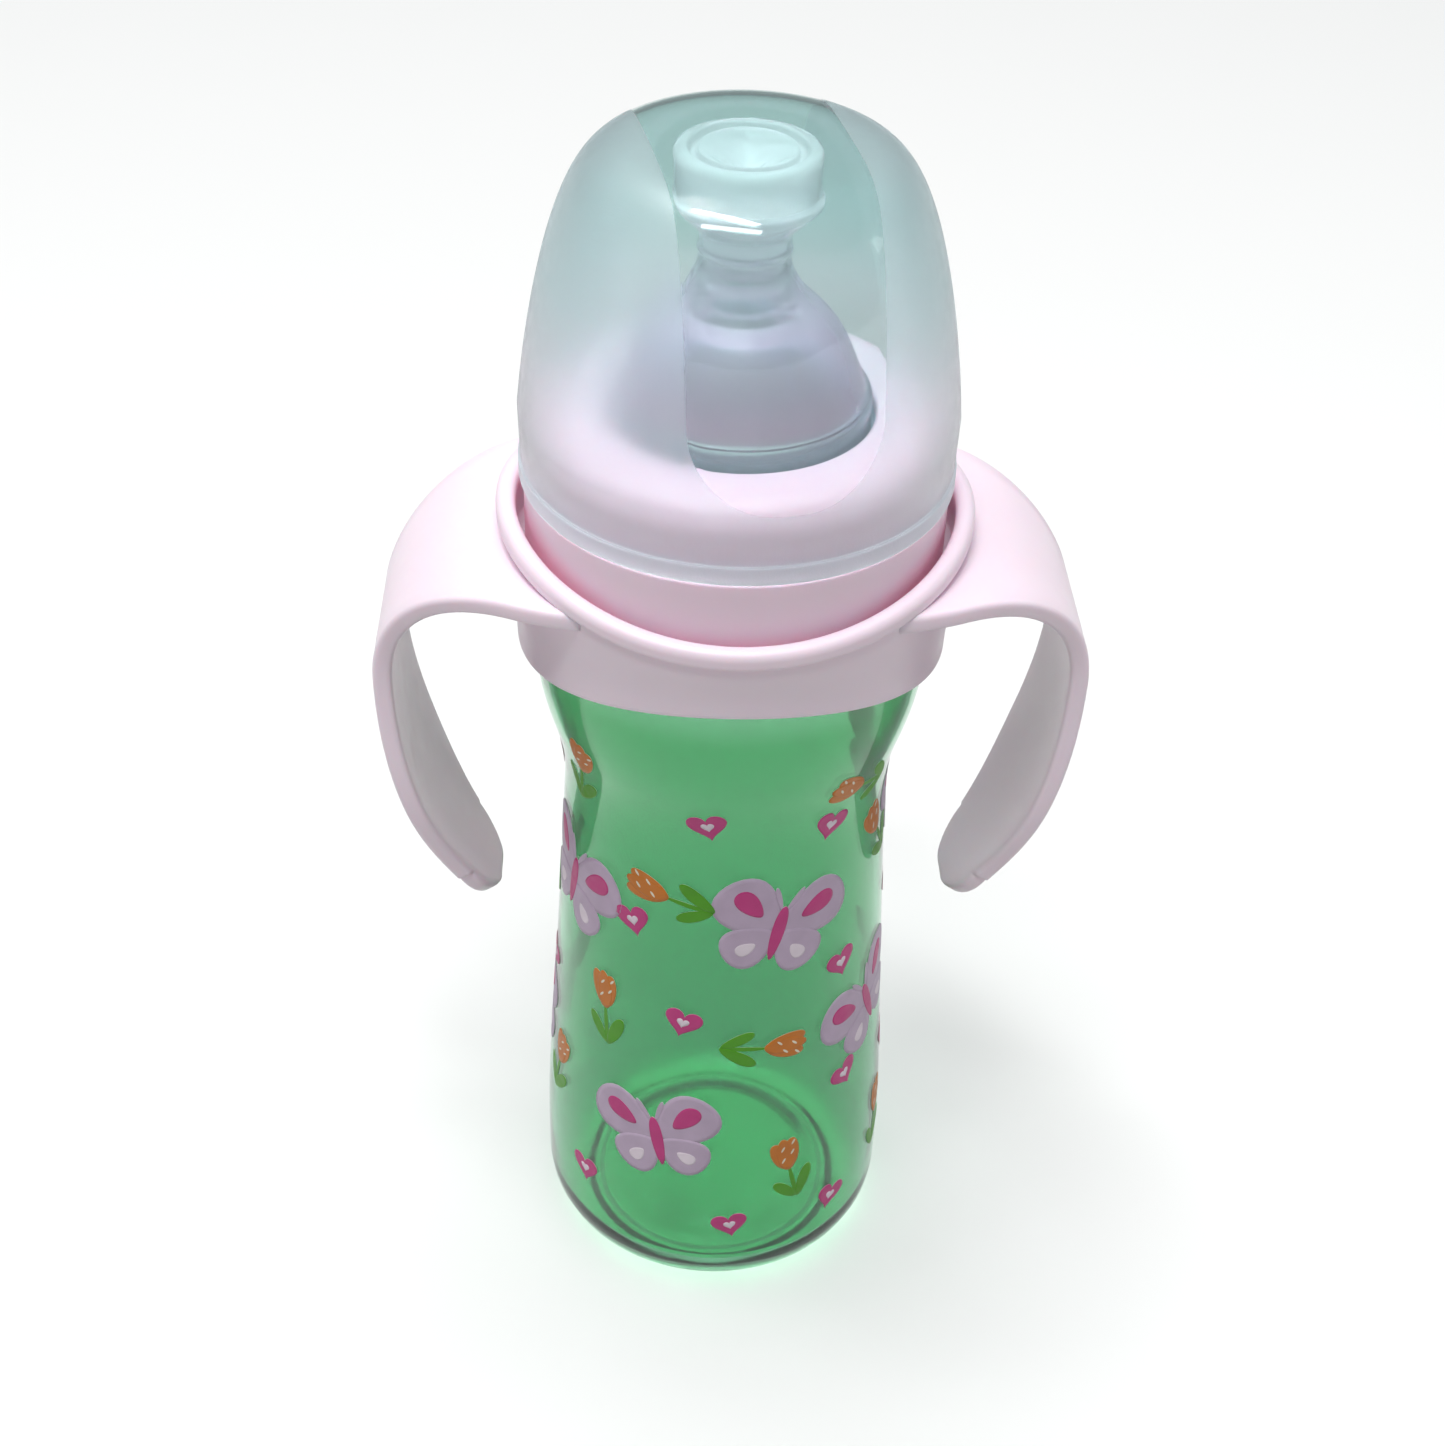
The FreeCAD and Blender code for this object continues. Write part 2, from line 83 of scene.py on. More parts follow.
def make_piece(name, grids, closed=False):
    """Make an object from grids of points, each in rows and columns. The columns join up round the
    piece. The rows join up too where the section is closed, and else each end row is one point."""
    points, faces, total = [], [], 0
    for grid in grids:
        rows, columns = grid.shape[:2]
        after = np.roll(np.arange(columns), -1)
        if closed:
            index = total + np.arange(rows * columns).reshape(rows, columns)
            points.append(grid.reshape(-1, 3))
            low, high = index, np.roll(index, -1, axis=0)
        else:
            index = total + 1 + np.arange((rows - 2) * columns).reshape(rows - 2, columns)
            first, last = total, total + 1 + index.size
            points += [grid[0, :1], grid[1:-1].reshape(-1, 3), grid[-1, :1]]
            low, high = index[:-1], index[1:]
            ends = np.full(columns, first), np.full(columns, last)
            faces += np.stack([ends[0], index[0, after], index[0]], -1).tolist()
            faces += np.stack([index[-1], index[-1, after], ends[1]], -1).tolist()
        faces += np.stack([low, low[:, after], high[:, after], high], -1).reshape(-1, 4).tolist()
        total = sum(len(part) for part in points)
    mesh = bpy.data.meshes.new(name)
    mesh.from_pydata(np.concatenate(points) / 1000, [], faces)
    mesh.polygons.foreach_set("use_smooth", np.ones(len(mesh.polygons), bool))
    piece = bpy.data.objects.new(name, mesh)
    bpy.context.scene.collection.objects.link(piece)
    return piece


def add_node(tree, kind, inputs=None, **settings):
    """Add a shader node. An input is a value or another node's output."""
    made = tree.nodes.new("ShaderNode" + kind)
    for key, value in settings.items():
        setattr(made, key, value)
    for socket, value in (inputs or {}).items():
        if isinstance(value, bpy.types.NodeSocket):
            tree.links.new(value, made.inputs[socket])
        else:
            made.inputs[socket].default_value = value
    return made


def start_finish(name):
    """A new material's node tree, emptied, with the Object coordinates of its piece."""
    finish = bpy.data.materials.new(name)
    finish.use_nodes = True
    tree = finish.node_tree
    tree.nodes.clear()
    return finish, tree, add_node(tree, "TexCoord").outputs["Object"]


def between(tree, value, low, high, to_low=0.0, to_high=1.0):
    """Spread a value between low and high over two others, and hold it outside them."""
    return add_node(tree, "MapRange", {
        "Value": value, "From Min": low, "From Max": high,
        "To Min": to_low, "To Max": to_high}).outputs["Result"]


def grain(tree, place, scale, low, high, detail=2.0):
    """Noise of a scale per metre, spread between two values."""
    noise = add_node(tree, "TexNoise", {"Vector": place, "Scale": scale, "Detail": detail})
    return between(tree, noise.outputs["Fac"], 0.3, 0.7, low, high)


def colour_ramp(tree, share, stops):
    """Colours that run straight into each other, at (share, colour) stops from 0 to 1."""
    ramp = add_node(tree, "ValToRGB", {0: share})
    ends = ramp.color_ramp.elements
    ends[0].color, ends[1].color = (*stops[0][1], 1), (*stops[-1][1], 1)
    for place, colour in stops[1:-1]:
        ends.new(place).color = (*colour, 1)
    return ramp.outputs[0]


def end_clear(tree, shader, shade):
    """Close a see-through finish: lamps shine through it with a tint."""
    lamp = add_node(tree, "LightPath").outputs["Is Shadow Ray"]
    through = add_node(tree, "BsdfTransparent", {"Color": shade})
    mix = add_node(tree, "MixShader", {0: lamp, 1: shader, 2: through.outputs[0]})
    add_node(tree, "OutputMaterial", {"Surface": mix.outputs[0]})


# Each corner is a radius, a height and how far its rounding reaches.
bottle_outside = [
    (0, 2.4, 0), (17.0, 2.4, 1.2), (20.0, 0.0, 0.7), (22.4, 0.0, 0.7), (31.1, 0.1, 8.4),
    (31.15, 24.0, 9.0), (29.3, 54.0, 14.0), (27.5, 87.0, 12.0), (26.7, 106.0, 7.0),
    (31.0, 120.6, 6.0), (32.1, 136.0, 3.0), (32.2, 143.4, 3.2), (27.6, 143.4, 0.5),
    (27.6, 165.6, 0.6),
]
bottle_inside = [
    (25.7, 165.6, 0.6), (25.7, 142.0, 2.0), (30.9, 142.0, 2.4), (30.7, 136.4, 3.0),
    (29.6, 121.0, 6.0), (25.3, 106.3, 7.0), (26.1, 87.0, 12.0), (27.9, 54.0, 14.0),
    (29.75, 24.0, 9.0), (29.7, 2.2, 7.4), (20.9, 2.2, 1.0), (17.4, 4.5, 1.2), (0, 4.5, 0),
]
BOTTLE_COLUMNS = 224
bottle_line = rounded_line(bottle_outside + bottle_inside)
bottle = make_piece("bottle_shell", [turned(bottle_line, BOTTLE_COLUMNS)])

clear_plastic, tree, place = start_finish("clear_polypropylene")
wave = add_node(tree, "TexNoise", {"Vector": place, "Scale": 55.0, "Detail": 1.0})
flow = add_node(tree, "Bump", {"Height": wave.outputs["Fac"], "Strength": 0.35, "Distance": 0.0006})
height = add_node(tree, "SeparateXYZ", {0: place}).outputs[2]
# The green is painted: it stands in for green grass seen through the clear wall, and it fades to
# nearly clear at the neck.
PAINTED_GRASS_GREEN, PAINTED_DEEP_GRASS_GREEN, NEARLY_CLEAR = (0.21, 0.57, 0.35), (0.20, 0.56, 0.31), (0.95, 0.95, 0.96)
NECK_FOOT = 0.142
tint = colour_ramp(tree, between(tree, height, 0.0, NECK_FOOT), (
    (0, PAINTED_GRASS_GREEN), (0.90, PAINTED_DEEP_GRASS_GREEN), (1, NEARLY_CLEAR)))
shell = add_node(tree, "BsdfPrincipled", {
    "Base Color": tint, "Roughness": grain(tree, place, 900.0, 0.03, 0.09),
    "IOR": 1.49, "Transmission Weight": 1.0, "Normal": flow.outputs[0]})
end_clear(tree, shell.outputs[0], (0.95, 0.975, 0.955, 1))
bottle.data.materials.append(clear_plastic)
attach(bottle, "bottle_body")
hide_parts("bottle")

# ---------------------------------------------------------------------------------------------
# The neck's thread: a ridge moulded on the neck in one with the bottle. It climbs two turns and
# runs out to nothing at both ends, as a moulded thread does.


def thread_ridge(name, root_r, crest_r, low_z, turns, root_half=1.0, pitch=4.5):
    """A ridge wound about the axis. Its centre is at (angle, low_z + pitch angle / 2 pi). Its
    section is (height, half width) in shares of the crest's height and the root's half width. Both
    shrink over the last twelfth of a turn at either end, by the square root of the distance to
    that end."""
    steps = 40 * int(math.ceil(turns))
    share = np.linspace(0, 1, steps + 1)[:, None]
    angle = 2 * math.pi * turns * share
    size = np.sqrt(np.clip(np.minimum(share, 1 - share) * turns * 12, 0, 1))
    section = np.array([(0, -1), (0, 1), (0.9, 0.62), (1, 0.5), (1, 0), (1, -0.5), (0.9, -0.62)])
    if crest_r < root_r:
        section = section[::-1]
    r = root_r + (crest_r - root_r) * section[:, 0] * size
    z = low_z + pitch * turns * share + root_half * section[:, 1] * size
    return make_piece(name, [np.stack([r * np.cos(angle), r * np.sin(angle), z], -1)])


neck_thread = thread_ridge("neck_thread", 27.45, 29.0, 149.6, 2.0)
neck_thread.data.materials.append(clear_plastic)
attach(neck_thread, "bottle_body")
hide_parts("bottle")

# ---------------------------------------------------------------------------------------------
# The print: a scatter of butterflies, tulips and hearts, screen-printed on the wall in opaque
# inks over a pale base coat, which stand a tenth of a millimetre proud of the plastic.
INK_GAP, INK_TOP = 0.03, 0.10
LILAC, MAGENTA, PALE = (0.545, 0.425, 0.56), (0.56, 0.045, 0.22), (0.83, 0.72, 0.80)
ORANGE, GREEN, CREAM = (0.60, 0.185, 0.018), (0.075, 0.33, 0.004), (0.85, 0.78, 0.62)
UNDERCOAT = (0.93, 0.90, 0.88)
PRINT_LOW_Z, PRINT_HIGH_Z = 8.0, 138.0
outer_wall = bottle_line[:bottle_line[:, 1].argmax()]
wall_part = outer_wall[(outer_wall[:, 1] > PRINT_LOW_Z) & (outer_wall[:, 1] < PRINT_HIGH_Z)]


def blot(outline, middle, ink, at, lean, level=0.0, rows=7):
    """A patch of ink: its outline about a middle point, turned by a lean and moved to at = (angle
    in degrees, height), and laid on the wall as (R + h, angle + u / R0, height + v), where R is the
    wall's radius at the point's height and R0 at the motif's. It has an underside, an edge and a
    top."""
    middle, lean = np.array(middle, float), math.radians(lean)
    spread = np.linspace(0, 1, rows)
    spread = np.concatenate([spread, spread[::-1]])[:, None, None]
    flat = middle + (outline - middle) * spread
    u = flat[..., 0] * math.cos(lean) - flat[..., 1] * math.sin(lean)
    v = flat[..., 0] * math.sin(lean) + flat[..., 1] * math.cos(lean)
    z = at[1] + v
    wall_r = np.interp(z, wall_part[:, 1], wall_part[:, 0])
    angle = math.radians(at[0]) + u / np.interp(at[1], wall_part[:, 1], wall_part[:, 0])
    lift = np.repeat([INK_GAP, INK_TOP + level], rows)[:, None]
    r = wall_r + lift
    return np.stack([r * np.cos(angle), r * np.sin(angle), z], -1), ink


def petal(length, width, bearing=0.0, root=(0.0, 0.0), full=0.35, count=28):
    """A petal's outline: along it x = length (1 - cos t) / 2, across it y = -width / 2 sin t
    (1 - full cos t), so that it is wider towards its tip, turned to a bearing about its root. Its
    middle point lies 0.58 of the way along it."""
    t = np.linspace(0, 2 * math.pi, count, endpoint=False)
    x, y = length * (1 - np.cos(t)) / 2, width / 2 * -np.sin(t) * (1 - full * np.cos(t))
    c, s = math.cos(math.radians(bearing)), math.sin(math.radians(bearing))
    outline = np.stack([x * c - y * s, x * s + y * c], -1) + root
    return outline, np.array(root) + np.array([c, s]) * length * 0.58


def heart(width, sink=0.0, count=32):
    """A heart's outline: x = 16 sin^3 t, y = 13 cos t - 5 cos 2t - 2 cos 3t - cos 4t, scaled to
    its width and lowered by a sink."""
    t = np.linspace(0, 2 * math.pi, count, endpoint=False)
    y = 13 * np.cos(t) - 5 * np.cos(2 * t) - 2 * np.cos(3 * t) - np.cos(4 * t)
    outline = np.stack([16 * np.sin(t) ** 3, y], -1) * width / 32 - (0, sink)
    return outline[::-1], (0, -sink)


def butterfly(at, lean):
    """Two fore wings and two hind wings with spots, a slim body and two feelers."""
    parts = []
    for side in (1, -1):
        back = 90 - 90 * side
        parts += [
            (*petal(13.2, 10.4, back + 36 * side, (0.5 * side, 0.6)), LILAC, 0.0),
            (*petal(9.6, 8.2, back - 40 * side, (0.5 * side, 0.2)), LILAC, 0.012),
            (*petal(6.6, 3.6, back + 38 * side, (3.6 * side, 3.4)), MAGENTA, 0.03),
            (*petal(3.6, 2.4, back - 42 * side, (3.2 * side, -2.4)), PALE, 0.03),
            (*petal(5.2, 0.9, back + 64 * side, (0.3 * side, 4.6)), LILAC, 0.024),
        ]
    parts.append((*petal(11.0, 2.3, 90, (0, -5.4), 0.2), MAGENTA, 0.04))
    return [blot(outline, middle, ink, at, lean, level) for outline, middle, ink, level in parts]


def tulip(at, lean):
    """A tulip head of three petals with pale flecks, on a stem with two leaves."""
    parts = [
        (*petal(8.6, 0.9, 90, (0, -8.4), 0.0), GREEN, 0.0),
        (*petal(7.6, 2.4, 62, (0.1, -8.4), 0.2), GREEN, 0.012),
        (*petal(6.4, 2.2, 122, (-0.1, -8.2), 0.2), GREEN, 0.012),
        (*petal(7.6, 3.6, 108, (0.4, -0.4), -0.1), ORANGE, 0.012),
        (*petal(7.6, 3.6, 72, (-0.4, -0.4), -0.1), ORANGE, 0.018),
        (*petal(7.9, 3.4, 90, (0, -0.6), -0.1), ORANGE, 0.024),
    ]
    for x, y in ((-1.1, 1.6), (0.9, 2.9), (-0.7, 4.4), (1.5, 5.2)):
        parts.append((*petal(1.3, 0.42, 50, (x, y), 0.0, 12), CREAM, 0.04))
    return [blot(outline, middle, ink, at, lean, level) for outline, middle, ink, level in parts]


def small_heart(at, lean):
    """A heart with a small pale heart in it."""
    return [blot(*heart(6.6), MAGENTA, at, lean), blot(*heart(2.2, 0.2), PALE, at, lean, 0.02, 3)]


printed_ink, tree, place = start_finish("screen_printed_ink")
ink_colour = add_node(tree, "VertexColor", layer_name="ink").outputs["Color"]
mottle = grain(tree, place, 260.0, 0.93, 1.04)
shade = add_node(tree, "VectorMath", {0: ink_colour}, operation="SCALE")
tree.links.new(mottle, shade.inputs["Scale"])
screen = add_node(tree, "TexNoise", {"Vector": place, "Scale": 2600.0, "Detail": 1.0})
tooth = add_node(tree, "Bump", {
    "Height": screen.outputs["Fac"], "Strength": 0.2, "Distance": 0.00005})
film = add_node(tree, "BsdfPrincipled", {
    "Base Color": shade.outputs[0], "Roughness": grain(tree, place, 700.0, 0.38, 0.52),
    "Specular IOR Level": 0.35, "Normal": tooth.outputs[0]})
add_node(tree, "OutputMaterial", {"Surface": film.outputs[0]})

# Each motif has its place, as degrees round from the front and a height, and its lean.
FRONT = -90.0
butterflies = [((FRONT + 17, 86), -14), ((FRONT - 21, 38), 12), ((FRONT + 62, 58), 20),
               ((FRONT - 66, 84), -10), ((FRONT + 98, 96), 8), ((FRONT - 98, 44), 16)]
tulips = [((FRONT + a, z), lean) for a, z, lean in (
    (-22, 93, 78), (15, 61, -96), (24, 31, 12), (-44, 64, 6), (66, 96, 30), (72, 26, -8),
    (-70, 40, -14), (-100, 78, 60), (102, 54, -20), (46, 112, 70), (-56, 112, -20))]
hearts = [((FRONT + a, z), lean) for a, z, lean in (
    (-8, 110, 14), (36, 106, -16), (-14, 67, -12), (44, 74, 8), (4, 19, 10), (47, 47, 20),
    (42, 18, -20), (-50, 22, 6), (-86, 106, 10), (-84, 60, -16), (88, 76, 12), (84, 40, -8),
    (-34, 86, 20))]
for name, motifs in (
        ("print_butterflies", [butterfly(*spot) for spot in butterflies]),
        ("print_tulips", [tulip(*spot) for spot in tulips]),
        ("print_hearts", [small_heart(*spot) for spot in hearts])):
    blots = [part for motif in motifs for part in motif]
    printed = make_piece(name, [grid for grid, _ in blots])
    # Half of a patch's points make its underside, which takes the base coat, and half its top.
    halves = [((grid.shape[0] - 2) * grid.shape[1] + 2) // 2 for grid, _ in blots]
    layers = np.array([(*coat, 1.0) for _, ink in blots for coat in (UNDERCOAT, ink)])
    inks = np.repeat(layers, np.repeat(halves, 2), axis=0)
    ink_mark = printed.data.color_attributes.new("ink", "FLOAT_COLOR", "POINT")
    ink_mark.data.foreach_set("color", inks.ravel())
    printed.data.materials.append(printed_ink)
    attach(printed, "bottle_body")

# ---------------------------------------------------------------------------------------------
# The handle collar: a bowl of pale pink polypropylene that drops over the neck and hangs on an
# inner ledge. A round bead runs along its rim, which dips in front and behind and rises at the
# handles, and its hem sinks under them.
COLLAR_COLUMNS = 288
RIM_LOW_Z, RIM_RISE, HEM_HIGH_Z, HEM_SINK = 148.0, 4.9, 135.6, 7.0
angles = np.linspace(0, 2 * math.pi, COLLAR_COLUMNS, endpoint=False)
handle_side = np.cos(angles) ** 2
rim_z = RIM_LOW_Z + RIM_RISE * handle_side
hem_z = HEM_HIGH_Z - HEM_SINK * handle_side
collar_section = [
    (34.0, hem_z, 0.7), (34.1, hem_z + 4.0, 1.6), (35.7, rim_z - 3.4, 1.4),
    (35.7, rim_z - 1.7, 0.25), (36.7, rim_z - 1.5, 0.5), (36.75, rim_z + 1.5, 1.4),
    (33.7, rim_z + 1.5, 1.4), (33.7, rim_z - 1.3, 0.5), (34.3, rim_z - 1.7, 0.3),
    (34.3, 145.4, 0.35), (29.4, 145.4, 0.3), (29.4, 143.7, 0.3), (32.5, 143.7, 0.5),
    (32.5, hem_z, 0.5),
]
corners = np.stack([np.stack(np.broadcast_arrays(r, z + 0 * angles, reach), -1)
                    for r, z, reach in collar_section], axis=1)
collar_lines = rounded_line(corners, steps=5, fill=2, closed=True)
collar_grid = turned(collar_lines.transpose(1, 0, 2), COLLAR_COLUMNS)
collar = make_piece("collar", [collar_grid], closed=True)


def pink_finish(name, shallow, deep, roughness, glow=0.3, reach=0.0015, low=None):
    """Moulded pink polypropylene: soft clouding of the colour, a faint orange peel, a satin gloss
    and a little light that spreads under the skin. A low colour, a painted glow, takes over at
    the foot of the piece, and higher up at its left and right: it stands in for the deep pink
    light that bounces in the gap between the ring and the collar."""
    finish, tree, place = start_finish(name)
    cloud = add_node(tree, "Mix", {
        0: grain(tree, place, 38.0, 0.0, 1.0), 6: (*shallow, 1), 7: (*deep, 1)}, data_type="RGBA")
    # The low colour is painted light: the pink glow in the gap between the ring and the collar.
    if low:
        low_z, high_z, side_rise = 0.1455, 0.1500, 0.0065
        axes = add_node(tree, "SeparateXYZ", {0: place}).outputs
        off_middle = add_node(tree, "Math", {0: axes[0]}, operation="ABSOLUTE").outputs[0]
        side = between(tree, off_middle, 0.015, 0.030)
        painted_glow_height = add_node(tree, "Math", {
            0: side, 1: -side_rise, 2: axes[2]}, operation="MULTIPLY_ADD").outputs[0]
        cloud = add_node(tree, "Mix", {
            0: between(tree, painted_glow_height, low_z, high_z), 6: (*low, 1),
            7: cloud.outputs[2]}, data_type="RGBA")
    peel = add_node(tree, "TexNoise", {"Vector": place, "Scale": 1500.0, "Detail": 2.0})
    skin = add_node(tree, "Bump", {
        "Height": peel.outputs["Fac"], "Strength": 0.12, "Distance": 0.0001})
    plastic = add_node(tree, "BsdfPrincipled", {
        "Base Color": cloud.outputs[2], "Roughness": grain(tree, place, 420.0, *roughness),
        "IOR": 1.49, "Subsurface Weight": glow, "Subsurface Radius": (1.0, 0.4, 0.55),
        "Subsurface Scale": reach, "Normal": skin.outputs[0]})
    add_node(tree, "OutputMaterial", {"Surface": plastic.outputs[0]})
    return finish


pale_pink = pink_finish("pale_pink_plastic", (0.92, 0.78, 0.865), (0.905, 0.76, 0.85), (0.30, 0.40))
collar.data.materials.append(pale_pink)
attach(collar, "handles")
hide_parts("handle_ring")

# ---------------------------------------------------------------------------------------------
# The two handles: straps moulded in one with the collar. Each leaves it as a wide wing, arches
# out and down, and ends in a rounded, slightly narrower tip.
WING_Z, ARCH_X, ARCH_Z, ARCH_R = 149.2, 33.0, 126.0, 23.2
LEG_R, LEG_END_Z = 90.0, 74.6
STRAP, EDGE, TIP_R, TIP_EDGE, HOLLOW = 3.1, 0.95, 9.5, 1.6, 0.5
WING_SLOPE, COLLAR_WALL_R = 0.235, 34.9
HANDLE_ROWS, ROOT_ROWS = 150, 12
leg_start = ARCH_R * math.pi / 2
handle_length = leg_start + LEG_R * math.asin((ARCH_Z - LEG_END_Z) / LEG_R)
# Along the strap from the collar: the wing's root, the waist of the arch, the grip and the tip.
STATIONS = np.array([-14.0, 34.0, 60.0, 92.0])
HALF_WIDTHS = np.array([27.4, 12.3, 13.9, 8.9])


def half_width(along):
    """The strap's half width: from each station to the next it changes by (1 - cos pi t) / 2, with
    t from 0 to 1 between them."""
    place = np.interp(along, STATIONS, np.arange(4))
    station = np.minimum(place.astype(int), 2)
    ease = (1 - np.cos(math.pi * (place - station))) / 2
    return HALF_WIDTHS[station] * (1 - ease) + HALF_WIDTHS[station + 1] * ease


def handle_path(along):
    """The strap's outer face from the collar: level, then a quarter circle of radius ARCH_R down
    from it, then an arc of radius LEG_R that leans in. Gives x, z and the outward direction (x, z)
    for a distance along it."""
    arch = np.clip(along, 0, leg_start) / ARCH_R
    leg = np.clip(along - leg_start, 0, None) / LEG_R
    x = ARCH_X + np.minimum(along, 0) + ARCH_R * np.sin(arch) - LEG_R * (1 - np.cos(leg))
    z = ARCH_Z + ARCH_R * np.cos(arch) - LEG_R * np.sin(leg)
    z = np.where(along < 0, WING_Z, z)
    turn = arch + leg
    return x, z, np.sin(turn), np.cos(turn)


def strap_section(count=13, corner=5):
    """Round a strap's section: (across, through) of the straight sides from -1 to 1, and (a, b) of
    the rounded edges' unit circle."""
    across = np.linspace(-1, 1, count)
    arc = np.linspace(0, math.pi / 2, corner)
    c, s, one = np.cos(arc), np.sin(arc), np.ones(corner)
    flat = np.zeros(count)
    return np.concatenate([
        np.stack([across, flat + 1, flat, flat + 1], -1),
        np.stack([one, one, s, c], -1)[1:],
        np.stack([one, -one, c, -s], -1),
        np.stack([across[::-1], flat - 1, flat, flat - 1], -1)[1:],
        np.stack([-one, -one, -s, -c], -1)[1:],
        np.stack([-one, one, -c, s], -1)[:-1]])


def wing_start(share):
    """Where a line down the wing, at a share of its half width, meets the collar's round wall: the
    x that solves x^2 + (share (W - k x))^2 = R^2, with k the wing's slope and W its half width if
    it ran on to the bottle's axis."""
    axis_w = HALF_WIDTHS[0] + WING_SLOPE * (ARCH_X + STATIONS[0])
    curve = 1 + (share * WING_SLOPE) ** 2
    lean = share ** 2 * WING_SLOPE * axis_w
    gap = (share * axis_w) ** 2 - COLLAR_WALL_R ** 2
    return (lean + np.sqrt(lean ** 2 - curve * gap)) / curve


def strap_handle(name, side):
    """A handle on one side: a rounded bar in rows down its length. Its half width w follows the
    stations and closes at the tip as a circle, sqrt(T^2 - (T - d)^2) at a distance d from the end.
    Its underside is hollowed by (1 - share^2) across it, fading out towards both ends. The wing
    starts at the collar's wall and is closed along it by rows of ever smaller angle."""
    section = strap_section()[None]
    down = 1 - (1 - np.linspace(0, 1, HANDLE_ROWS)[:, None]) ** 1.25
    start = (wing_start(section[..., 0]) - ARCH_X) * (1 - down) ** 2
    along = start + handle_length * (1 - (1 - down) ** 2)
    to_tip = np.clip(handle_length - along, 0, None)
    w = half_width(along)
    tip_w = np.sqrt(np.clip(TIP_R ** 2 - (TIP_R - to_tip) ** 2, 0, None))
    w = np.where(to_tip < TIP_R, np.minimum(w, tip_w), w)
    thin = np.clip(1 - to_tip / TIP_EDGE, 0, None)
    thick = STRAP / 2 * np.sqrt(np.clip(1 - thin ** 2, 0, None))
    edge = np.minimum(np.minimum(EDGE, w), thick)
    hollow = HOLLOW * (1 - section[..., 0] ** 2) * (section[..., 1] < 0)
    hollow = hollow * np.clip(to_tip / 12, 0, 1) * np.clip(along / 20, 0, 1)
    y = section[..., 0] * (w - edge) + section[..., 2] * edge
    out = section[..., 1] * (thick - edge) + section[..., 3] * edge - STRAP / 2 + hollow
    x, z, out_x, out_z = handle_path(along)
    grid = np.stack([side * (x + out_x * out), y, z + out_z * out], -1)
    mouth = grid[:1]
    r = np.hypot(mouth[..., 0], mouth[..., 1])
    angle = np.arctan2(mouth[..., 1], side * mouth[..., 0])
    middle_z = mouth[..., 2].mean()
    share = np.linspace(0, 1, ROOT_ROWS)[:-1, None]
    root = np.stack([side * r * np.cos(share * angle), r * np.sin(share * angle),
                     middle_z + share * (mouth[..., 2] - middle_z)], -1)
    last = np.broadcast_to(grid[-1:].mean(axis=1, keepdims=True), mouth.shape)
    grid = np.concatenate([root, grid[:-1], last])
    return make_piece(name, [grid[:, ::-1] if side > 0 else grid])


for name, side in (("handle_right", 1), ("handle_left", -1)):
    handle = strap_handle(name, side)
    handle.data.materials.append(pale_pink)
    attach(handle, "handles")
    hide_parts("handle_ring")

# ---------------------------------------------------------------------------------------------
# The spout: soft clear silicone, moulded in one. A flange that the ring clamps on the lip, a bell
# with stiffening ribs inside, a narrow throat and a wide head whose top is a funnel with a slit.
spout_outside = [
    (18.5, 165.75, 0), (29.0, 165.75, 0.4), (29.0, 167.6, 0.4), (19.75, 167.6, 0.3),
    (19.75, 172.3, 0.6), (18.9, 172.8, 0.4), (15.1, 181.9, 3.6), (8.4, 188.5, 2.6),
    (6.75, 192.2, 1.3), (6.65, 194.1, 0.3), (6.95, 194.7, 0.3), (6.65, 195.3, 0.3),
    (6.7, 197.6, 0.5), (10.7, 201.8, 0.6), (10.85, 202.9, 0.3), (10.3, 203.5, 0.3),
    (10.2, 204.0, 0.25), (10.3, 205.0, 0.6), (10.65, 209.0, 1.2), (8.45, 209.0, 0.35),
    (8.15, 207.7, 0.35), (7.35, 207.7, 0.3), (7.0, 208.9, 0.3), (6.3, 208.6, 0.4),
    (2.6, 205.8, 1.4), (0, 204.4, 0),
]
spout_inside = [
    (0, 203.0, 0), (5.6, 206.8, 1.1), (9.15, 206.6, 0.6), (8.75, 203.9, 0.5), (9.3, 202.6, 0.4),
    (8.7, 201.2, 0.6), (5.6, 198.2, 0.9), (5.5, 196.2, 0.3), (5.9, 195.5, 0.3),
    (5.5, 194.8, 0.3), (5.6, 191.8, 0.3), (5.2, 191.1, 0.3), (5.2, 190.3, 0.3),
    (5.8, 189.6, 0.5), (5.9, 186.6, 0.3), (6.3, 186.2, 0.3), (6.4, 182.3, 0.4),
    (7.5, 182.1, 0.45), (7.8, 185.9, 0.8), (10.9, 184.6, 1.4), (13.7, 181.2, 2.0),
    (16.9, 175.6, 2.0), (17.6, 172.4, 1.2), (18.1, 169.6, 0.8), (18.5, 165.75, 0),
]
SPOUT_COLUMNS = 216
RIBS, RIB_HALF, RIB_DEPTH, RIB_LOW_Z, RIB_HIGH_Z = 6, 1.9, 0.55, 174.5, 183.5
FUNNEL_Z, LOBE_R, LOBE_RISE, SLIT_DEPTH = 204.0, 6.6, 0.7, 0.5
CENTRE_R = 2.5


def ribbed(grid):
    """Push the bell's inner wall inwards at the ribs: by the rib's depth times a round bump across
    it, (1 - u^2)^2, times a step e (2 - e), where e rises at the rib's lower end and falls at its
    top. Only the bell's own wall, between the radii of the throat and the flange, is moved."""
    x, y, z = np.moveaxis(grid, -1, 0)
    r, angle = np.hypot(x, y), np.arctan2(y, x)
    pitch = 2 * math.pi / RIBS
    off = ((angle + pitch / 2) % pitch - pitch / 2) * r
    end = np.clip((z - RIB_LOW_Z) / 1.8, 0, 1) * np.clip((RIB_HIGH_Z - z) / 3, 0, 1)
    bump = np.clip(1 - (off / RIB_HALF) ** 2, 0, 1) ** 2 * end * (2 - end)
    bump = bump * (r < 17.5) * (r > 8.5)
    shrink = 1 - RIB_DEPTH * bump / np.maximum(r, 1)
    return np.stack([x * shrink, y * shrink, z], -1)


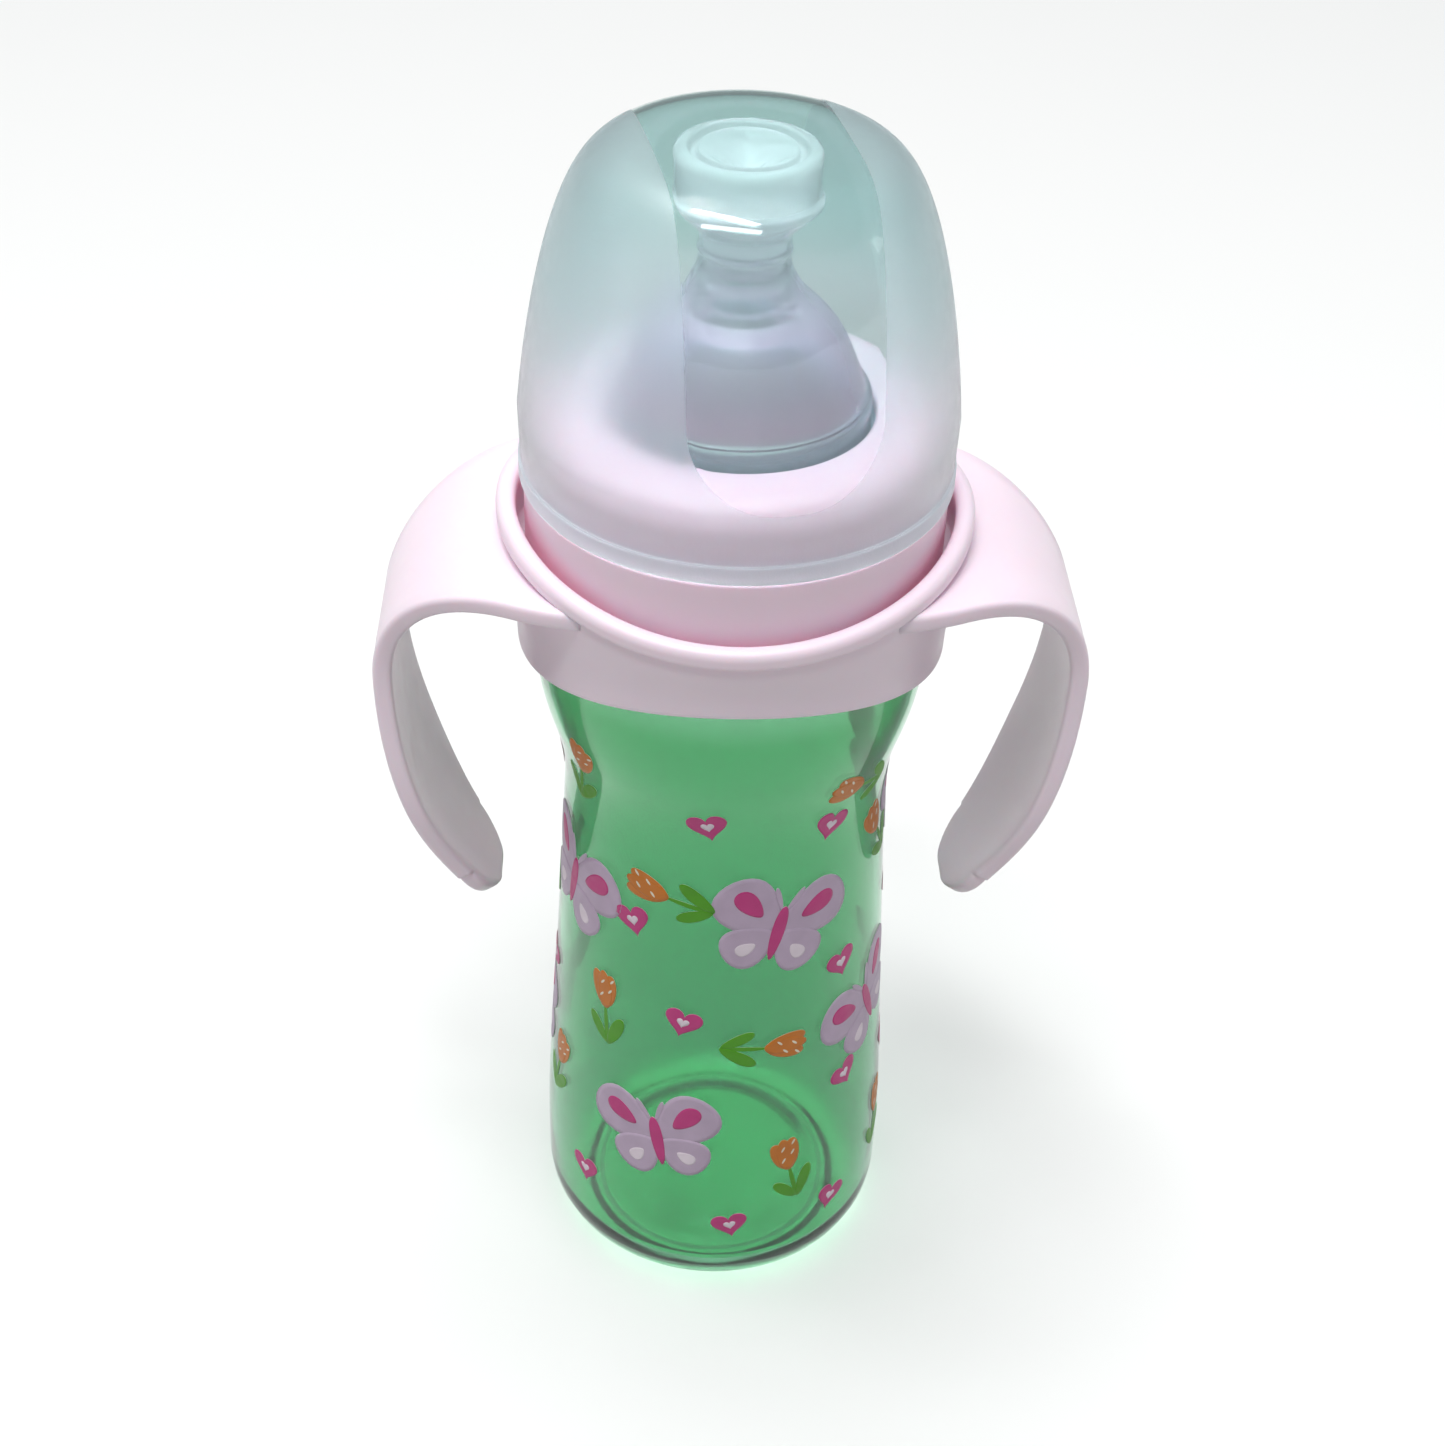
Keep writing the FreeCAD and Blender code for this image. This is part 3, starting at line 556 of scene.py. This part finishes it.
def dished(grid):
    """Shape the funnel on top: raise it a little on the left and right, by the cosine of twice the
    angle, and sink a narrow V along X in its middle, 0.5 deep and 5 long."""
    x, y, z = np.moveaxis(grid, -1, 0)
    r, angle = np.hypot(x, y), np.arctan2(y, x)
    lobes = LOBE_RISE * np.cos(2 * angle) * np.clip(r * (LOBE_R - r) / 10.9, 0, 1)
    slit = SLIT_DEPTH * np.clip(1 - np.abs(y) / 0.22, 0, 1) * np.clip((2.5 - np.abs(x)) / 0.4, 0, 1)
    on_top = z > FUNNEL_Z
    return np.stack([x, y, z + lobes * on_top - slit * on_top], -1)


inner_line = rounded_line(spout_inside[::-1], steps=5, fill=6)
outer_line = rounded_line(spout_outside, steps=5, fill=2)
# The last rows of the funnel, near the axis, are laid again close enough together for the slit.
FUNNEL_ROWS, CENTRE_ROWS = 14, 8
funnel = outer_line[:-FUNNEL_ROWS - 1:-1]
centre_r = np.linspace(CENTRE_R, 0, 24)
centre_z = np.interp(centre_r, funnel[:, 0], funnel[:, 1])
outer_line = np.concatenate([outer_line[:-CENTRE_ROWS], np.stack([centre_r, centre_z], -1)])
under, over = turned(inner_line[::-1], SPOUT_COLUMNS), turned(outer_line[1:], SPOUT_COLUMNS)
spout = make_piece("spout", [np.concatenate([ribbed(under), dished(over)])])

silicone, tree, place = start_finish("clear_silicone")
soft = add_node(tree, "TexNoise", {"Vector": place, "Scale": 240.0, "Detail": 1.5})
dimple = add_node(tree, "Bump", {
    "Height": soft.outputs["Fac"], "Strength": 0.25, "Distance": 0.0002})
height = add_node(tree, "SeparateXYZ", {0: place}).outputs[2]
# The mauve is painted: it stands in for the pink ring and collar seen through the clear silicone.
# The colour is bluer at the foot and colourless on the head.
BLUE_FOOT, PAINTED_RING_MAUVE, PAINTED_PALE_RING_MAUVE, COLOURLESS = (
    (0.62, 0.80, 0.88), (0.98, 0.79, 0.95), (0.99, 0.86, 0.98), (0.99, 0.97, 0.99))
tint = colour_ramp(tree, between(tree, height, 0.166, 0.209), (
    (0, BLUE_FOOT), (0.12, (0.66, 0.80, 0.89)), (0.18, PAINTED_RING_MAUVE), (0.44, PAINTED_PALE_RING_MAUVE),
    (0.60, COLOURLESS), (1, COLOURLESS)))
milk = between(tree, height, 0.1990, 0.2030, 0.72, 0.66)
satin = between(tree, height, 0.1880, 0.1960, 0.22, 0.07)
rough = add_node(tree, "Math", {0: satin, 1: grain(tree, place, 800.0, 0.0, 0.05)}, operation="ADD")
rubber = add_node(tree, "BsdfPrincipled", {
    "Base Color": tint, "Roughness": rough.outputs[0],
    "IOR": 1.33, "Transmission Weight": milk, "Normal": dimple.outputs[0]})
end_clear(tree, rubber.outputs[0], (0.95, 0.95, 0.97, 1))
spout.data.materials.append(silicone)
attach(spout, "spout_body")
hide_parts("spout")

# ---------------------------------------------------------------------------------------------
# The screw ring: glossy pink polypropylene with a wide skirt, a stepped-in boss that the hood
# pushes over, a well rounded shoulder and a plate that clamps the spout's flange.
ring_section = [
    (29.4, 146.0, 0.35), (32.4, 146.0, 0.7), (32.4, 158.4, 0.5), (31.2, 158.4, 0.4),
    (31.2, 169.9, 4.6), (20.4, 169.9, 0.7), (20.4, 167.8, 0.3), (29.4, 167.8, 0.4),
]
RING_COLUMNS = 224
ring_line = rounded_line(ring_section, steps=9, fill=5, closed=True)
ring = make_piece("screw_ring", [turned(ring_line, RING_COLUMNS)], closed=True)
# The ring's low colour is a painted glow of the gap between the ring and the collar.
ring_pink = pink_finish("ring_pink_plastic", (0.87, 0.69, 0.785), (0.855, 0.67, 0.77), (0.29, 0.38),
                        low=(0.98, 0.56, 0.68))
ring.data.materials.append(ring_pink)
ring_thread = thread_ridge("ring_thread", 29.5, 28.1, 151.85, 1.5)
ring_thread.data.materials.append(ring_pink)
for piece in (ring, ring_thread):
    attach(piece, "ring")
    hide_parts("screw_ring")

# ---------------------------------------------------------------------------------------------
# The dust hood: a thin polypropylene dome that snaps over the ring's boss. Its outside is
# frosted in the mould, except for a polished clear band that runs over the top from front to
# back and ends in a round-cornered tongue on both sides.
HOOD_WALL, HOOD_COLUMNS, RIM_TOP_Z = 1.2, 272, 162.4
DOME_R, DOME_TAPER, DOME_Z, DOME_RISE = 33.0, 4.79, 169.75, 41.13
SIDE_POWER, TOP_POWER = 8.19, 2.14
BAND_HALF, BAND_LOW_Z, BAND_CORNER, BAND_STEP = 13.9, 170.0, 12.0, 0.09
BAND_TURN = math.radians(10.5)


def hood_outside():
    """The dome's outer line, from its rim up to the axis: r = (R - taper s) c^(2 / side power) and
    z = Z + rise s^(2 / top power), with s and c the sine and cosine of an angle from 0 to 90
    degrees, over a straight side and a slightly thicker rim. Its rows are even in height up the
    side and even in radius over the top."""
    s = np.linspace(0.02, 0.955, 90) ** (TOP_POWER / 2)
    r_last = math.sqrt(1 - s[-1] ** 2) ** (2 / SIDE_POWER)
    over_top = np.linspace(r_last, 0, 71)[1:] ** (SIDE_POWER / 2)
    c = np.concatenate([np.sqrt(1 - s ** 2), over_top])
    s = np.sqrt(1 - c ** 2)
    dome = np.stack([(DOME_R - DOME_TAPER * s) * c ** (2 / SIDE_POWER),
                     DOME_Z + DOME_RISE * s ** (2 / TOP_POWER)], -1)
    side = rounded_line([(31.8, 158.7, 0.4), (33.1, 158.7, 0.35), (33.1, 161.6, 0.3),
                         (32.8, 161.9, 0.25), (33.0, 169.9, 0.3)], steps=5, fill=6)
    return np.concatenate([side[9:], dome])


hood_line = hood_outside()
slope = np.gradient(hood_line, axis=0)
slope /= np.linalg.norm(slope, axis=1, keepdims=True)
hood_in = hood_line - HOOD_WALL * np.stack([slope[:, 1], -slope[:, 0]], -1)
hood_in = hood_in[(hood_line[:, 1] > RIM_TOP_Z) & (hood_in[:, 0] > 0.4)]
hood_in = np.concatenate([[(31.6, 158.75), (31.6, 160.5)], hood_in,
                          [(0, hood_line[-1, 1] - HOOD_WALL)]])
hood_grid = turned(np.concatenate([hood_in[::-1], hood_line]), HOOD_COLUMNS)


def band_depth(x, y, z):
    """How far a point is inside the clear band: the signed distance to a tongue of half width
    BAND_HALF whose lower end has round corners, measured across the band and up."""
    across = np.abs(x * math.cos(BAND_TURN) + y * math.sin(BAND_TURN))
    in_x = across - (BAND_HALF - BAND_CORNER)
    in_z = (BAND_LOW_Z + BAND_CORNER) - z
    outside = np.hypot(np.maximum(in_x, 0), np.maximum(in_z, 0))
    return BAND_CORNER - outside - np.minimum(np.maximum(in_x, in_z), 0)


is_outer = (np.arange(len(hood_grid)) >= len(hood_in))[:, None]
depth = band_depth(*np.moveaxis(hood_grid, -1, 0))
step = BAND_STEP * np.clip(depth / 0.9 + 0.5, 0, 1) * is_outer
radial = hood_grid - (0, 0, 165)
radial /= np.maximum(np.linalg.norm(radial, axis=-1, keepdims=True), 1e-6)
hood = make_piece("hood", [hood_grid - radial * step[..., None]])

frosted, tree, place = start_finish("frosted_polypropylene")
to_mm = add_node(tree, "VectorMath", {0: place}, operation="SCALE")
to_mm.inputs["Scale"].default_value = 1000.0
spin = add_node(tree, "VectorRotate", {"Vector": to_mm.outputs[0], "Angle": -BAND_TURN},
                rotation_type="Z_AXIS")
axes = add_node(tree, "SeparateXYZ", {0: spin.outputs[0]})


def maths(operation, *values, clamp=False):
    """One step of arithmetic on the hood's coordinates."""
    return add_node(tree, "Math", dict(enumerate(values)), operation=operation,
                    use_clamp=clamp).outputs[0]


in_x = maths("SUBTRACT", maths("ABSOLUTE", axes.outputs[0]), BAND_HALF - BAND_CORNER)
in_z = maths("SUBTRACT", BAND_LOW_Z + BAND_CORNER, axes.outputs[2])
corner = maths("SQRT", maths("ADD", maths("POWER", maths("MAXIMUM", in_x, 0.0), 2.0),
                             maths("POWER", maths("MAXIMUM", in_z, 0.0), 2.0)))
inside = maths("SUBTRACT", maths("SUBTRACT", BAND_CORNER, corner),
               maths("MINIMUM", maths("MAXIMUM", in_x, in_z), 0.0))
outer_face = add_node(tree, "Attribute", attribute_name="outer_face").outputs["Fac"]
outside_band = maths("SUBTRACT", 0.5, maths("MULTIPLY", inside, 4.0), clamp=True)
clear_share = maths("SUBTRACT", 1.0, maths("MULTIPLY", outside_band, outer_face))
frost_rough = grain(tree, place, 500.0, 0.34, 0.44)
rough = add_node(tree, "Mix", {0: clear_share, 2: frost_rough, 3: 0.05})
up_dome = maths("DIVIDE", maths("SUBTRACT", axes.outputs[2], 160.0), 50.0)
# Both tints are partly painted light: the teal high on the dome stands in for green grass seen
# through it, and the greyer frost near 170 mm is painted shade of the ring's shoulder behind the
# wall.
frost_tint_painted_shade_and_green = colour_ramp(tree, up_dome, (
    (0, (0.84, 0.90, 0.95)), (0.035, (0.84, 0.90, 0.95)), (0.06, (0.90, 0.90, 0.94)),
    (0.20, (0.78, 0.80, 0.83)), (0.36, (0.88, 0.91, 0.95)), (0.66, (0.74, 0.91, 0.93)),
    (1, (0.76, 0.91, 0.93))))
band_tint_painted_green = colour_ramp(tree, up_dome, (
    (0, (0.76, 0.78, 0.79)), (0.28, (0.77, 0.77, 0.79)), (0.54, (0.64, 0.77, 0.76)),
    (1, (0.62, 0.81, 0.79))))
tint = add_node(tree, "Mix", {0: clear_share, 6: frost_tint_painted_shade_and_green, 7: band_tint_painted_green}, data_type="RGBA")
etch = add_node(tree, "TexNoise", {"Vector": place, "Scale": 3200.0, "Detail": 1.0})
tooth = add_node(tree, "Bump", {"Height": etch.outputs["Fac"], "Distance": 0.00005})
etch_depth = maths("SUBTRACT", 0.35, maths("MULTIPLY", clear_share, 0.35))
tree.links.new(etch_depth, tooth.inputs["Strength"])
in_rim = maths("DIVIDE", maths("SUBTRACT", 162.2, axes.outputs[2]), 0.5, clamp=True)
lip = maths("MULTIPLY", in_rim, 0.22)
see_through = maths("SUBTRACT", maths("ADD", 0.84, maths("MULTIPLY", clear_share, 0.15)), lip)
dome = add_node(tree, "BsdfPrincipled", {
    "Base Color": tint.outputs[2], "Roughness": rough.outputs[0], "IOR": 1.49,
    "Transmission Weight": see_through, "Normal": tooth.outputs[0]})
end_clear(tree, dome.outputs[0], (0.75, 0.76, 0.77, 1))

hood.data.materials.append(frosted)
# Only the outer face is frosted, so its points are marked 1 and the inner ones 0.
outer_points = np.concatenate([np.zeros(1 + (len(hood_in) - 1) * HOOD_COLUMNS),
                               np.ones((len(hood_line) - 1) * HOOD_COLUMNS + 1)])
face_mark = hood.data.attributes.new("outer_face", "FLOAT", "POINT")
face_mark.data.foreach_set("value", outer_points)
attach(hood, "cover")
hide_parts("hood")

# ---------------------------------------------------------------------------------------------
# The table and the light: a plain pale floor under a dim even sky and one very broad light from
# above. Two slim tubes overhead draw the highlights on the hood's band, and a weak lamp stands
# low on each side. In this section the lengths are metres.
FLOOR_HALF = 4.0
floor_mesh = bpy.data.meshes.new("floor")
floor_mesh.from_pydata([(-FLOOR_HALF, -FLOOR_HALF, 0), (FLOOR_HALF, -FLOOR_HALF, 0),
                        (FLOOR_HALF, FLOOR_HALF, 0), (-FLOOR_HALF, FLOOR_HALF, 0)],
                       [], [(0, 1, 2, 3)])
floor = bpy.data.objects.new("floor", floor_mesh)
bpy.context.scene.collection.objects.link(floor)
paper, tree, place = start_finish("pale_paper")
bounce = add_node(tree, "LightPath").outputs["Is Diffuse Ray"]
SEEN_PAPER, BOUNCED_PAPER = (0.88, 0.88, 0.87, 1), (0.42, 0.42, 0.41, 1)
dimmed = add_node(tree, "Mix", {0: bounce, 6: SEEN_PAPER, 7: BOUNCED_PAPER}, data_type="RGBA")
sheet = add_node(tree, "BsdfPrincipled", {
    "Base Color": dimmed.outputs[2], "Specular IOR Level": 0.1,
    "Roughness": grain(tree, place, 30.0, 0.85, 0.95)})
add_node(tree, "OutputMaterial", {"Surface": sheet.outputs[0]})
floor_mesh.materials.append(paper)

sky = bpy.data.worlds.new("studio")
sky.use_nodes = True
backdrop = sky.node_tree.nodes["Background"]
backdrop.inputs["Color"].default_value = (0.93, 0.97, 1.0, 1)
backdrop.inputs["Strength"].default_value = 0.29
sky.cycles.sampling_method = "NONE"
bpy.context.scene.world = sky


def soft_light(name, place, aim, width, height, power):
    """A rectangular softbox of so many watts at a place, turned to face a point."""
    lamp = bpy.data.lights.new(name, "AREA")
    lamp.shape = "RECTANGLE"
    lamp.size = width
    lamp.size_y = height
    lamp.energy = power
    box = bpy.data.objects.new(name, lamp)
    turn = (Vector(aim) - Vector(place)).to_track_quat("-Z", "Y").to_matrix().to_4x4()
    box.matrix_world = Matrix.Translation(place) @ turn
    bpy.context.scene.collection.objects.link(box)


soft_light("key_tube", (-0.13, -0.42, 1.05), (0, 0, 0.15), 0.50, 0.10, 2.6)
soft_light("second_tube", (-0.13, -0.12, 1.20), (0, 0, 0.15), 0.60, 0.10, 3.2)
soft_light("side_left", (-0.75, -0.25, 0.22), (0, 0, 0.08), 0.12, 0.45, 0.25)
soft_light("side_right", (0.75, -0.05, 0.22), (0, 0, 0.08), 0.12, 0.45, 0.32)
ceiling = bpy.data.lights.new("ceiling", "SUN")
ceiling.energy = 1.82
ceiling.angle = math.radians(50)
ceiling.cycles.use_multiple_importance_sampling = False
overhead = bpy.data.objects.new("ceiling", ceiling)
overhead.matrix_world = (
    Matrix.Rotation(math.radians(-8), 4, "X") @ Matrix.Rotation(math.radians(-6), 4, "Y"))
bpy.context.scene.collection.objects.link(overhead)

# The camera stands in front and above, looks down, and leans a little to one side.
CAMERA_PLACE = (-0.0150, -0.2896, 0.3342)
LOOK_DOWN, LOOK_ASIDE, TILT, ROLL = 37.86, -2.97, 0.00217, 2.17
view = bpy.data.cameras.new("camera")
view.lens = 55.16
view.sensor_width = 36.0
view.clip_start = 0.01
camera = bpy.data.objects.new("camera", view)
camera.matrix_world = (
    Matrix.Translation(CAMERA_PLACE) @ Matrix.Rotation(math.radians(LOOK_ASIDE), 4, "Z")
    @ Matrix.Rotation(math.radians(90 - LOOK_DOWN), 4, "X") @ Matrix.Rotation(TILT, 4, "Y")
    @ Matrix.Rotation(math.radians(ROLL), 4, "Z"))
bpy.context.scene.collection.objects.link(camera)
bpy.context.scene.camera = camera
bpy.context.scene.view_settings.view_transform = "Standard"
paths = bpy.context.scene.cycles
paths.max_bounces = 20
paths.transmission_bounces = 20
paths.transparent_max_bounces = 24
paths.diffuse_bounces = 6
